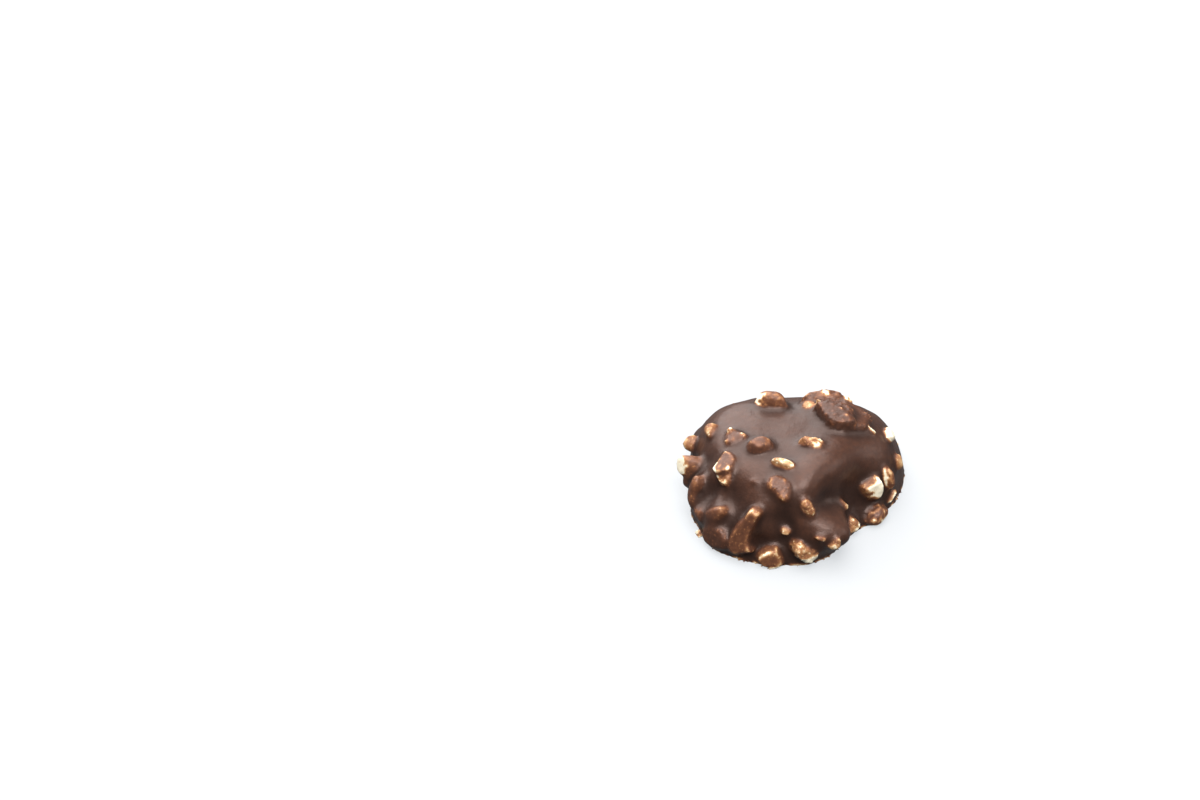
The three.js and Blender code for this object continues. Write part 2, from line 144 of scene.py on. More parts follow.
# bearing, rise, height and spread of the rounded swells and hollows
swells = [
    (279, 0.26, 1.6, 2.8), (288, 0.21, 5.2, 3.1), (288, 0.44, -2.6, 2.7), (318, 0.36, -1.8, 3.2),
    (318, 0.16, -1.6, 2.4), (276, 0.63, 1.6, 3.2), (297, 0.66, 2.6, 3.6), (326, 0.66, 1.5, 3.2),
    (249, 0.15, -2.0, 2.2), (259, 0.36, -1.8, 2.2), (264, 0.2, -1.6, 2.0), (226, 0.45, -1.4, 2.8),
    (192, 0.5, -1.2, 2.4), (197, 0.22, 2.0, 2.5), (209, 0.36, -1.2, 2.0), (209, 0.15, 1.4, 2.2),
    (221, 0.25, 2.0, 2.4), (223, 0.08, 1.2, 2.6), (334, 0.07, 0.9, 2.0), (36, 0.74, 0.8, 4.5),
    (2, 0.5, 1.0, 3.8), (112, 0.8, -0.6, 6.0), (62, 0.25, 1.5, 2.4), (96, 0.14, 1.3, 2.2),
    (118, 0.3, 1.2, 2.6), (146, 0.18, 1.6, 2.2),
]


def around(values, bearing):  # a smooth closed curve through a list of values
    step = 360 / len(values)
    place = (bearing % 360) / step
    start = int(place)
    s = place - start
    a, b, c, d = (values[(start + k) % len(values)] for k in (-1, 0, 1, 2))
    return b + 0.5 * s * (c - a + s * (2 * a - 5 * b + 4 * c - d + s * (3 * (b - c) + d - a)))


def domePoint(bearing, rise):
    angle = math.radians(bearing)
    lift = rise * math.pi / 2
    cosine = max(math.cos(lift), 0)
    height = dough["height"] * math.sin(lift)
    radius = around(dough["footRadii"], bearing) * cosine ** (2 / around(dough["squareness"], bearing))
    for waves, depth, phase in dough["ripples"]:
        radius += depth * math.sin(waves * angle + phase + 2 * rise) * cosine**2
    radius += dough["flare"] * math.exp(-height / dough["flareHeight"])
    return Vector((radius * math.cos(angle), radius * math.sin(angle), height))


swellCentres = [domePoint(bearing, rise) for bearing, rise, _, _ in swells]


def doughFrame(bearing, rise):  # x level, y up the flank, z outwards, on the swollen surface
    level = domePoint(bearing + 0.5, rise) - domePoint(bearing - 0.5, rise)
    up = domePoint(bearing, rise + 0.01) - domePoint(bearing, rise - 0.01)
    out = level.cross(up).normalized()
    angle = math.radians(bearing)
    x = Vector((-math.sin(angle), math.cos(angle), 0))
    x = (x - out * x.dot(out)).normalized()
    plain = domePoint(bearing, rise)
    point = plain + Vector((*dough["centre"], 0))
    for (_, _, height, spread), centre in zip(swells, swellCentres):
        point += out * height * math.exp(-0.5 * ((plain - centre).length / spread) ** 2)
    turned = Matrix((x, out.cross(x), out)).transposed().to_4x4()
    turned.translation = point
    return turned


def makeDough():
    bpy.ops.object.select_all(action="DESELECT")
    bpy.ops.mesh.primitive_uv_sphere_add(segments=dough["segments"], ring_count=dough["rings"], radius=1)
    body = bpy.context.object
    body.name = "dough"
    cutAtFloor(body)
    for vertex in body.data.vertices:
        x, y, z = vertex.co
        bearing = math.degrees(math.atan2(y, x))
        if z < 1e-4:
            vertex.co = doughFrame(bearing, 0).translation * mm
            vertex.co.z = -dough["below"] * mm
        elif z > 1 - 1e-6:
            vertex.co = Vector((*dough["centre"], dough["height"])) * mm
        else:
            vertex.co = doughFrame(bearing, math.asin(z) * 2 / math.pi).translation * mm
    return body


# the almonds: broken pieces that stand out of the dough

cuts = {  # how far the top is drawn in, how high it stands, and a shoulder's width and height
    "chunk": {"top": (0.7, 0.92), "crown": (0.62, 1)},
    "slice": {"top": (0.88, 0.94), "crown": (0.92, 1)},
    "pebble": {"top": (0.45, 0.6), "crown": (0.94, 1), "shoulder": (0.86, 0.74)},
    "ledge": {"top": (0.88, 0.94), "crown": (0.2, 1), "high": -70},  # highest down the flank
    "log": {"top": (0.84, 0.9), "crown": (0.6, 1), "high": 180},
}
piece = {
    "waistWidth": 1.04,  # a piece is widest at this share of the outline and of its height
    "waistHeight": 0.35,
    "seat": 3,  # how deep it goes into the dough, in mm
    "ovalCorners": {"chunk": 5, "slice": 6, "pebble": 7, "log": 8},
    "cornerJitter": 0.5,
    "spread": (0.88, 1.12),  # how far the corners of an oval lie in or out
}

left, right, above = (-1, 0, 0), (1, 0, 0), (0, 0, 1)

# cut, bearing, rise, how proud, outline or (length, width, turn), then the finish: how thin the
# chocolate is over it, how much thinner at its edges, roughness of the break in mm, and where it
# is bare: the side, and the share of the way towards it where bare almond starts
shownAlmonds = [
    # on the flat top
    ("pebble", 119.5, 0.87, 3.3, [(2.7, -1), (1.9, 0.7), (-0.1, 2.2), (-1.6, 2.8), (-2.2, 2.4),
        (-2.8, 0.4), (-2.2, -0.8), (0.1, -2.5), (1.3, -3), (2.4, -2.6)], (0.2, 0.3, 0.1, left, 0.64)),
    ("pebble", 73.5, 0.84, 1.1, [(0.8, 1.4), (-0.2, 1.6), (-1.1, 0.8), (-1.2, -0.5),
        (-0.3, -1.4), (1, -0.6), (1.2, 0.7)], (0.5, 0.15, 0)),
    ("pebble", 182, 0.83, 1.6, [(0.7, -0.5), (0.7, 0.4), (-0.1, 1), (-0.7, 0.7), (-0.6, -0.2),
        (-0.2, -0.7)], (0.35, 0.4, 0.1, above, 0.6)),
    ("slice", 189, 0.85, 0.9, [(1.5, -1.6), (1.5, 0), (1.3, 1.8), (-0.9, 1.4), (-1.4, 0.2), (-0.5, -1.4)],
        (0.1, 0.25, 0.1)),
    ("chunk", 191, 0.9, 1.4, [(0.4, -0.8), (0.8, -0.1), (0.4, 0.6), (-0.3, 0.1), (-0.7, -0.6)],
        (0.42, 0.4, 0.1, above, 0.7)),
    ("chunk", 192, 0.78, 1.2, [(0.1, -0.3), (0.4, 0.1), (0, 0.6), (-0.4, 0.2), (-0.3, -0.5)],
        (0.45, 0.4, 0.1)),
    ("pebble", 214, 0.91, 2.4, [(-0.2, -2.4), (1, -1.9), (1.8, -0.8), (2.1, 0.8), (1.8, 2), (0.9, 2.6),
        (-0.3, 2.5), (-1.4, 1.7), (-1.8, 0.4), (-2, -1.1), (-1.6, -2)], (0.1, 0.34, 0)),
    ("chunk", 289, 0.89, 2, [(-1.7, 0.2), (-0.8, -0.8), (0.1, -2), (1.1, -1.8), (2.1, -1),
        (2.4, 0.4), (1, 1.4), (-1.2, 1.9), (-2.4, 1.3)], (0.34, 0.4, 0.25, (0.7, -0.7, 0.3), 0.65)),
    ("pebble", 251, 0.81, 1.9, [(-1.7, -0.4), (-0.4, -0.7), (1.2, -0.9), (2.4, -0.6), (2.6, 0),
        (1.9, 0.8), (0.7, 1.1), (-0.8, 1.1), (-2.2, 0.9), (-2.7, 0.2)], (0.48, 0.22, 0)),
    # the ridge at the back right
    ("slice", 23, 0.89, 2.9, [(4.5, 2.8), (3.1, 2.8), (0.1, 2.8), (-2.4, 2.6), (-3.6, 1.5), (-4.4, 0.1),
        (-4.7, -1.4), (-4.3, -2.8), (-2.1, -2.8), (0, -2), (2.2, -0.7), (3.9, 1.1)], (0, 0.3, 0.12)),
    ("chunk", 61, 0.77, 3.1, [(3, 2.3), (1.6, 1.8), (-0.5, 1.2), (-3, 0.2), (-4.3, -1.9), (-3.3, -2.9),
        (-1.5, -2.7), (1.2, -1.5), (2.6, -0.1), (3.5, 1.4), (4.1, 2.7)], (0.12, 0.4, 0.1)),
    ("slice", 24, 0.77, 1.2, [(2.6, 2.7), (0.6, 2.6), (-1.9, 2.3), (-4.4, 2), (-4.6, -0.2),
        (-2.4, -2.2), (0, -2.5), (2.1, -1.8), (3.6, -0.1), (4.5, 0.9)], (0.06, 0.2, 0.05)),
    ("slice", 30, 0.87, 3.1, (8, 4, 31), (0, 0.3, 0.12)),
    ("chunk", 22, 0.876, 3.7, (1.6, 1.1, 40), (0.42, 0.3, 0.05)),
    ("chunk", 10, 0.857, 3.5, (1.6, 0.9, 60), (0.42, 0.3, 0.05)),
    ("chunk", 5, 0.795, 2.8, (1.7, 1.1, 20), (0.42, 0.3, 0.05)),
    ("chunk", 60.5, 0.845, 2.7, [(0, 0.4), (-0.8, 0.5), (-0.6, -0.1), (-0.1, -0.6), (0.9, 0.1)],
        (0.5, 0.3, 0)),
    ("chunk", 58, 0.77, 3.3, (3, 2, 25), (0.4, 0.4, 0.15, above, 0.8)),
    ("chunk", 42, 0.72, 2, (2.8, 2.2, 140), (0.42, 0.5, 0.15)),
    ("pebble", 20, 0.7, 2.2, [(0, 0.4), (-1, -0.7), (-1.2, -1.2), (-0.3, -0.2), (0.6, 0.8), (0.9, 1.5)],
        (0.25, 0.5, 0)),
    ("chunk", 7, 0.66, 1.2, [(0, 0.2), (-0.7, -0.9), (-0.5, -1.1), (0.4, 0.1), (0.8, 1.3)],
        (0.5, 0.4, 0.1, right, 0.6)),
    # the left flank
    ("pebble", 172, 0.66, 1.9, [(0.9, -1.3), (1.9, -0.5), (1.3, 0.5), (0.2, 1.2),
        (-0.9, 1.4), (-1.6, 0.3), (-1.4, -0.9), (-0.3, -1.6)], (0.3, 0.3, 0.05)),
    ("ledge", 208, 0.64, 2.4, [(-2.1, 0.8), (-1.2, -0.9), (-0.4, -2.3), (1.1, -2.4), (2.4, -1),
        (2.7, 0.5), (0.8, 2.8), (-1.3, 2.5), (-2.3, 2.2)], (0.12, 0.8, 0.03, (-1, -0.1, 0.1), 0.6)),
    ("chunk", 214, 0.56, 1.2, [(0, -1.3), (1.6, -1.2), (1.7, 0.4), (0.9, 1.4), (0, 0.5), (-1.5, -0.8)],
        (0.4, 0.4, 0.2)),
    ("pebble", 166, 0.36, 2.8, [(0.6, -1.8), (1.1, -1.3), (1.2, -0.3), (-0.1, 1.2), (-1.2, 1.7),
        (-1, 0), (-0.4, -1.4)], (0.34, 0.3, 0.05)),
    ("log", 184.5, 0.33, 4.8, (5.6, 4, 95), (0.22, 0.2, 0, (-0.9, -0.4, 0.2), 0.68)),
    ("pebble", 185.5, 0.21, 2.2, (4.6, 3.2, 80), (0.1, 0.15, 0)),
    ("pebble", 200.5, 0.28, 1.3, [(-1.5, 3.2), (-1.7, 1.8), (-1.9, -0.7), (-1.2, -3), (0.2, -3.8),
        (1.6, -3.5), (1.5, -2), (0.8, 0), (0.7, 2.2), (-0.4, 3.5)], (0.15, 0.2, 0.05)),
    ("pebble", 211, 0.175, 0.7, [(-0.9, -1.2), (1.4, -1.1), (1.7, 0.1), (0.6, 1.7), (-1.6, 0.7),
        (-2.3, -0.7)], (0.18, 0.25, 0.05)),
    ("pebble", 221.5, 0.28, 0.6, [(-1.3, -2.7), (0, -2.4), (1.4, -0.4), (2.3, 1.5),
        (1.6, 2.6), (0.2, 2.1), (-1.2, 0.7), (-2.6, -0.8)], (0.2, 0.2, 0.05)),
    ("chunk", 211, 0, 1.4, [(0.4, -1.6), (1.3, -1.4), (1, -0.4), (-0.3, 0.3), (-0.9, -1.1)],
        (0.35, 0.6, 0.25)),
    # the front
    ("slice", 253, 0.63, 1.2, [(-1.7, -0.8), (-0.2, -1.1), (0.4, -2.2), (1.5, -2.6), (2.4, -2.2),
        (2.3, -0.5), (2.4, 0.8), (0.8, 2.3), (0, 2.2), (-1.1, 2.5), (-2.2, 2), (-2.6, 0.2)],
        (0.12, 0.5, 0.1)),
    ("pebble", 272, 0.48, 1.6, [(-1.4, -0.1), (-0.4, -1.3), (0.6, -2.1), (1.4, -1.7),
        (1.5, -0.6), (0.3, 1.2), (-0.6, 1.8), (-1.4, 1.1)], (0.3, 0.3, 0.15)),
    ("slice", 225, 0.12, 0.9, [(-2.4, -2.4), (0, -2.7), (3.1, -1.4), (3.4, 1.1),
        (1.6, 2.9), (-1.3, 1.9), (-3.3, 0.5), (-3.4, -1.4)], (0.08, 0.1, 0.05)),
    ("slice", 239, 0.25, 1.9, [(-0.3, 3.4), (-1.5, 1.5), (-2.4, -0.9), (-2.6, -3.6), (-2.4, -5.4),
        (-1.1, -5.7), (1.4, -4.5), (2.7, -4), (1.3, -2.3), (1.3, -0.5),
        (1.8, 1.7), (2.3, 3.5), (2.8, 5.2), (1, 5.8), (0.3, 5.3)], (0.18, 0.5, 0)),
    ("slice", 254, 0.06, 2.4, [(-2.3, -1.2), (-1, -2.1), (0.8, -2.4), (2, -1.6), (2.7, -0.8), (2.2, 0.3),
        (1.5, 1.5), (1, 2.6), (-1.2, 2), (-2.5, 0.9), (-3, -0.2)], (0.25, 0.5, 0.05)),
    ("chunk", 271, 0.135, 2.6, [(-2.3, -0.2), (-1.3, -1.3), (0, -2), (1.1, -2.7), (2.4, -1.8), (2.8, -0.8),
        (2.5, 0.2), (1.4, 0.9), (0.2, 1.5), (-0.9, 2.3), (-2, 2.1), (-2.6, 0.9)],
        (0.34, 0.35, 0.25, (0.2, -0.3, -1), 0.25)),
    ("chunk", 261, 0.268, 1.4, [(-1, -0.5), (0.2, -0.8), (1.1, 0.4), (-0.3, 0.9), (-1.1, 0.8)],
        (0.4, 0.2, 0.05)),
    ("pebble", 234, 0.66, 0.5, [(-0.4, -0.8), (0.5, -0.4), (1.1, 0.4), (0.8, 0.8), (-0.3, 0.3),
        (-0.8, -0.6)], (0.2, 0.1, 0)),
    # the right flank
    ("chunk", 306, 0.298, 1.4, [(-0.8, 0.3), (-0.3, -1), (0.4, -1.4), (0.7, -0.3), (-0.1, 1.1),
        (-1, 1.5)], (0.36, 0.4, 0.05)),
    ("chunk", 311, 0.09, 2.2, [(-1, -1.5), (0.4, -1.6), (1.4, -1.5), (2, -0.4),
        (1.4, 0.8), (0.4, 1.5), (-1.1, 0.8), (-2.2, -1.2)], (0.34, 0.4, 0.15, (1, 0, -0.5), 0.6)),
    ("chunk", 276, 0.244, 1.4, [(0.2, -0.6), (0.8, 0.1), (0.2, 0.7), (-1.1, 0.6), (-1.3, 0.2)],
        (0.32, 0.32, 0.05)),
    ("chunk", 280, 0.205, 1.7, [(-0.9, -1.3), (0.2, -1.5), (0.9, -0.4), (0.8, 1), (0.4, 1.5),
        (-0.4, 0.6), (-1.2, -0.7)], (0.38, 0.35, 0.1)),
    ("chunk", 337, 0.26, 2.8, [(-2.4, 1.1), (-2, -0.2), (-1.4, -1.5), (-0.4, -2.2), (0.8, -2.5),
        (1.5, -1.8), (2.1, -0.4), (2.1, 1.2), (1.8, 2.3), (1.1, 2.8), (-0.2, 2.5), (-1.4, 2.3), (-2.5, 2.1)],
        (0.3, 0.3, 0.1, (0.8, -0.45, 0.4), 0.22)),
    ("pebble", 333, 0.06, 2.9, [(-2.1, -1.5), (-0.8, -2.1), (0.6, -1.7), (2.5, -1.7), (3.3, -0.6),
        (3.3, 0.7), (2.4, 0.7), (1, 2), (-1.3, 1.4), (-2.8, -0.3)], (0.1, 0.7, 0.1, (0.6, -0.4, -0.8), 0.6)),
    ("pebble", 349, 0.29, 2, [(-0.6, 1.9), (-1, 0.4), (-1, -1.4), (-0.8, -2.7), (0.2, -2.5),
        (1, -1.8), (1.2, -0.5), (1.3, 1.3), (1, 2.3), (-0.1, 2.8)], (0.22, 0.4, 0.1, left, 0.75)),
    ("chunk", 350, 0.11, 1.5, [(-1.1, -1.1), (-0.4, -0.7), (0.7, 0.1), (1.2, 0.9), (0.5, 0.9),
        (-0.4, 0.1), (-1.5, -1)], (0.4, 0.5, 0.1, (0.5, -0.5, -0.5), 0.6)),
    ("pebble", 4, 0.3, 1.5, [(-0.7, 0.6), (-1.1, -0.7), (-0.7, -1.9), (0.3, -1.9), (0.9, -0.4), (1.1, 1.4),
        (0.2, 1.7)], (0.45, 0.25, 0.05)),
    ("chunk", 13, 0.5, 1.6, [(-1.9, 1), (-1.9, -0.1), (-0.7, -1.6), (0.5, -1.7), (1.6, -0.7), (1.4, 0.8),
        (-0.2, 1.7)], (0.4, 0.4, 0.15, (0.6, -0.5, 0.6), 0.1)),
]

back = {  # the almonds on the side that the photograph hides
    "pieces": 30,
    "seed": 11,
    "bearings": (36, 142),
    "rises": (0.05, 0.36),
    "lengths": (2.6, 5.6),
    "slenderness": (0.55, 0.8),
    "leastProud": 1.1,
    "extraProud": 1.3,
    "cuts": ["chunk", "pebble", "chunk", "chunk", "slice", "chunk"],
    "thin": (0.1, 0.45),
    "edges": (0.2, 0.5),
    "rough": (0, 0.2),
    "bareEvery": 4,
    "bareStarts": (0.1, 0.8),
}


def hiddenAlmonds():
    draw, paint = randomFrom(back["seed"]), randomFrom(back["seed"] + 1)
    golden = (math.sqrt(5) - 1) / 2
    pieces = []
    for k in range(back["pieces"]):
        place = (k + 0.5) / back["pieces"]
        length = lerp(back["lengths"], draw())
        width = length * lerp(back["slenderness"], draw())
        proud = back["leastProud"] + back["extraProud"] * (1 - place) * draw()
        bearing = lerp(back["bearings"], k * golden % 1)
        finish = [lerp(back[name], paint()) for name in ("thin", "edges", "rough")]
        if k % back["bareEvery"] == 0:
            side = tuple(2 * paint() - 1 for _ in range(3))
            finish += [side, lerp(back["bareStarts"], paint())]
        cut, rise = back["cuts"][k % len(back["cuts"])], lerp(back["rises"], place)
        pieces.append((cut, bearing, rise, proud, (length, width, 180 * draw()), finish))
    return pieces


def ovalOutline(cut, length, width, turn, draw):
    corners = []
    count = piece["ovalCorners"][cut]
    for k in range(count):
        angle = 2 * math.pi * (k + piece["cornerJitter"] * draw()) / count
        reach = 0.5 * lerp(piece["spread"], draw())
        x, y = length * reach * math.cos(angle), width * reach * math.sin(angle)
        c, s = math.cos(math.radians(turn)), math.sin(math.radians(turn))
        corners.append((x * c - y * s, x * s + y * c))
    return corners


def raiseTop(height, width):  # extrude the selected top face, and make it wider or narrower
    bpy.ops.mesh.extrude_region_move(TRANSFORM_OT_translate={"value": (0, 0, height * mm)})
    bpy.ops.transform.resize(value=(width, width, 1), center_override=(0, 0, 0))


def makeAlmond(cut, bearing, rise, proud, outline, finish, seed):
    shape = cuts[cut]
    draw = randomFrom(seed)
    if isinstance(outline, tuple):
        outline = ovalOutline(cut, *outline, draw)
    highSide = 2 * math.pi * draw()
    if "high" in shape:
        highSide = math.radians(shape["high"])
    bpy.ops.object.select_all(action="DESELECT")
    bpy.ops.mesh.primitive_circle_add(vertices=len(outline), radius=mm, fill_type="NGON")
    almond = bpy.context.object
    for vertex, (x, y) in zip(almond.data.vertices, outline):
        vertex.co = (x * mm, y * mm, -piece["seat"] * mm)
    bpy.ops.object.mode_set(mode="EDIT")
    bpy.ops.mesh.select_all(action="SELECT")
    raiseTop(piece["seat"] + piece["waistHeight"] * proud, piece["waistWidth"])
    height, width = piece["waistHeight"], piece["waistWidth"]
    if "shoulder" in shape:
        raiseTop((shape["shoulder"][1] - height) * proud, shape["shoulder"][0] / width)
        width, height = shape["shoulder"]
    raiseTop((1 - height) * proud, 1 / width)
    bpy.ops.object.mode_set(mode="OBJECT")
    top = [vertex for vertex in almond.data.vertices if vertex.select]
    for x, y in outline:
        drawnIn = lerp(shape["top"], draw())
        share = 0.5 + 0.5 * math.cos(math.atan2(y, x) - highSide)
        corner = min(top, key=lambda vertex: math.dist(vertex.co.xy / mm, (x, y)))
        top.remove(corner)
        corner.co = (drawnIn * x * mm, drawnIn * y * mm, lerp(shape["crown"], share) * proud * mm)
    place = doughFrame(bearing, rise)
    place.translation *= mm
    almond.data.transform(place)
    bpy.ops.object.mode_set(mode="EDIT")
    bpy.ops.mesh.select_all(action="SELECT")
    bpy.ops.mesh.normals_make_consistent(inside=False)
    bpy.ops.mesh.quads_convert_to_tris()
    bpy.ops.object.mode_set(mode="OBJECT")
    return almond


body = makeDough()
allAlmonds = shownAlmonds + hiddenAlmonds()
almonds = [makeAlmond(*almond, seed=k + 1) for k, almond in enumerate(allAlmonds)]
thinOf, edgeOf, roughOf = (np.array([almond[5][k] for almond in allAlmonds]) for k in range(3))
print("dough and", len(almonds), "almonds")

# the coat: dough and almonds under one skin of poured chocolate

coat = {  # lengths in mm
    "voxel": 0.26,
    "settling": 160,  # rounds in which chocolate fills the creases
    "pace": 0.5,  # share of the way that a point moves in a round
    "creaseDepth": 0.05,  # a crease this deep, in voxels, fills at the full pace
    "easing": 2,  # rounds of smoothing all over
    "melting": 14,  # more of them where the chocolate is thick
    "thick": (0.15, 0.45),  # it melts fully up to the first thinness, and not at all from the second
    "reach": (0.45, 0.1),  # from how near an almond the chocolate counts as lying on it
    "paintReach": (0.45, 0.15),
    "pool": (0.1, 0.8),  # it is thick up to the first height over the dough, and thinnest from the second
    "rise": (0, 0.5),  # heights over the dough between which a break begins to be rough
    "breakSize": 0.9,  # size of the lumps on a rough break, and share of the smaller ones on them
    "breakDetail": 0.4,
    "waves": 0.12,  # slow waves in the chocolate, and their length
    "waveLength": 4.0,
    "footRagged": 0.22,  # depth, size and height of the ragged edge at the foot
    "footSize": 0.9,
    "footHeight": (1.0, 0.2),
    "footDrawnIn": 0.3,
    "crest": (0.006, 0.035),  # how far a point stands over its surroundings where the edges show
    "crestUp": 0.25,  # how much more the edges that face up show
    "edgePatch": 1.3,  # size of the stretches where an edge shows or not
    "edgeShown": (-0.35, 0.1),
    "paintedValleyShadeRounds": 60,  # painted shade and light: the colour is darker in valleys and lighter on swells, which these rounds of smoothing find
    "paintedValleyShade": (-0.25, 0.1),
    # how much painted light the swells get over the valleys' painted shade
    "paintedSwellLight": 0.17,
    "breakPatch": 0.8,  # size and depth of the bays in the rim of a bare break
    "bayDepth": 0.5,
    "bareRim": 0.1,  # softness of that rim
    "torn": 0.75,  # how thin the chocolate is where the foot has torn off the belt
    "tornHeight": (0.7, 0.2),
    "tornSize": 1.6,
    "tornShown": (-0.2, 0.15),
    "underside": -0.9,  # what faces down more than this is the flat foot, which stays dark
}


def treeOf(objects):
    points, faces, owner = [], [], []
    for k, obj in enumerate(objects):
        start = len(points)
        points += [vertex.co.copy() for vertex in obj.data.vertices]
        faces += [[start + v for v in polygon.vertices] for polygon in obj.data.polygons]
        owner += [k] * len(obj.data.polygons)
    return BVHTree.FromPolygons(points, faces), owner


def settle(obj):  # chocolate runs into the creases and leaves the crests alone
    edges = edgesOf(obj)
    points = pointsOf(obj)
    full = coat["creaseDepth"] * coat["voxel"] * mm
    for _ in range(coat["settling"]):
        mean = neighbourMean(points, edges)
        depth = ((mean - points) * normalsOf(obj)).sum(1)
        points += coat["pace"] * np.clip(depth / full, 0, 1)[:, None] * (mean - points)
        putPoints(obj, points)
    owner, near, _ = almondUnder(points)
    thinHere = thinOf[owner] * smoothstep(*coat["reach"], near)
    melted = 1 - smoothstep(*coat["thick"], thinHere)
    for k in range(coat["easing"] + coat["melting"]):
        weight = 1 if k < coat["easing"] else melted[:, None]
        points += coat["pace"] * weight * (neighbourMean(points, edges) - points)
    putPoints(obj, points)


def almondUnder(points):  # the nearest almond, how near it is, and the height over the dough
    owner = np.empty(len(points), int)
    near = np.empty(len(points))
    height = np.empty(len(points))
    for k, point in enumerate(points):
        _, _, face, near[k] = almondTree.find_nearest(point)
        owner[k] = almondOf[face]
        spot, normal, _, _ = doughTree.find_nearest(point)
        height[k] = (Vector(point) - spot).dot(normal)
    return owner, near / mm, height / mm


def noiseAt(points, size, shift=0):  # each use has its own shift, so that no two patterns agree
    return np.array([noise.noise(Vector(point) / (size * mm) + Vector((shift, 0, 0))) for point in points])


def roughen(obj):  # rough breaks on almonds, slow waves in the chocolate, a ragged foot
    points = pointsOf(obj)
    owner, near, height = almondUnder(points)
    onAlmond = smoothstep(*coat["reach"], near) * smoothstep(*coat["rise"], height)
    breaks = noiseAt(points, coat["breakSize"])
    breaks += 0.5 * noiseAt(points, coat["breakDetail"] * coat["breakSize"], shift=9)
    push = roughOf[owner] * onAlmond * breaks
    push += coat["waves"] * (1 - onAlmond) * noiseAt(points, coat["waveLength"], shift=5)
    low = smoothstep(*coat["footHeight"], points[:, 2] / mm)
    ragged = noiseAt(points, coat["footSize"], shift=3) - coat["footDrawnIn"]
    push += coat["footRagged"] * low * ragged
    putPoints(obj, points + normalsOf(obj) * push[:, None] * mm)


def paintThinnessAndShade(obj):  # how thin the chocolate is, from 0 for thick to 1 for bare almond, with painted shade in valleys and painted light on swells added in
    points, normals, edges = pointsOf(obj), normalsOf(obj), edgesOf(obj)
    owner, near, height = almondUnder(points)
    cover = smoothstep(*coat["paintReach"], near) * smoothstep(*coat["pool"], height)
    mean = neighbourMean(neighbourMean(points, edges), edges)
    crest = smoothstep(*coat["crest"], ((points - mean) * normals).sum(1) / mm)
    facingUp = 1 - coat["crestUp"] + coat["crestUp"] * normals[:, 2]
    crest *= facingUp * smoothstep(*coat["edgeShown"], noiseAt(points, coat["edgePatch"], shift=7))
    # painted shade and light: valleys darker and swells lighter, laid into the thinness that sets the colour
    for _ in range(coat["paintedValleyShadeRounds"]):
        mean = neighbourMean(mean, edges)
    paintedShadeAndLight = coat["paintedSwellLight"] * smoothstep(*coat["paintedValleyShade"], ((points - mean) * normals).sum(1) / mm)
    thin = paintedShadeAndLight + cover * (thinOf[owner] + edgeOf[owner] * crest)
    bays = noiseAt(points, coat["breakPatch"], shift=11)
    for k, almond in enumerate(allAlmonds):
        mine = owner == k
        if len(almond[5]) < 5 or not mine.any():
            continue
        side, start = almond[5][3:]
        direction = np.array(Vector(side).normalized())
        corners = np.array([vertex.co[:] for vertex in almonds[k].data.vertices]) @ direction
        outer = corners[len(corners) // 2:]
        way = 2 * (points[mine] @ direction - outer.min()) / (outer.max() - outer.min()) - 1
        way = 0.5 * (way + normals[mine] @ direction) + coat["bayDepth"] * bays[mine]
        bare = smoothstep(start - coat["bareRim"], start + coat["bareRim"], way) * cover[mine]
        thin[mine] += bare * (1 - thin[mine])
    torn = smoothstep(*coat["tornHeight"], points[:, 2] / mm) * (normals[:, 2] > coat["underside"])
    tears = noiseAt(points, coat["tornSize"], shift=13)
    thin += coat["torn"] * torn * smoothstep(*coat["tornShown"], tears)
    writeThinness(obj, neighbourMean(thin[:, None], edges)[:, 0])


def writeThinness(obj, thin):
    layer = obj.data.attributes.new("thin", "FLOAT", "POINT")
    layer.data.foreach_set("value", np.clip(thin, 0, 1).astype(np.float32))


almondTree, almondOf = treeOf(almonds)
doughTree, _ = treeOf([body])
copies = []
for almond in almonds:
    copies.append(almond.copy())
    copies[-1].data = almond.data.copy()
    bpy.context.collection.objects.link(copies[-1])
skin = joinAll([body, *copies], "chocolateCoat")
applyModifier(skin, "REMESH", mode="VOXEL", voxel_size=coat["voxel"] * mm)
settle(skin)
roughen(skin)
cutAtFloor(skin)
paintThinnessAndShade(skin)
bpy.ops.object.select_all(action="DESELECT")
for almond in almonds:
    almond.select_set(True)
bpy.ops.object.delete()
selectOnly(skin)
bpy.ops.object.shade_smooth()
print("coat", len(skin.data.polygons), "faces")

# crumbs that stick to the edge of the foot

crumb = {
    "count": 50,
    "seed": 29,
    "stretches": [(196, 228), (236, 268), (276, 300), (326, 366), (60, 150)],  # bearings with crumbs
    "lengths": (0.25, 0.7),
    "slenderness": (0.45, 0.8),
    "flatness": (0.35, 0.7),
    "raggedness": 0.3,
    "sunk": 0.2,  # share of its length that a crumb sits in the coat
    "outside": 40,  # a ray from this far outside finds the edge, in mm
    "thin": (0.3, 0.85),
}


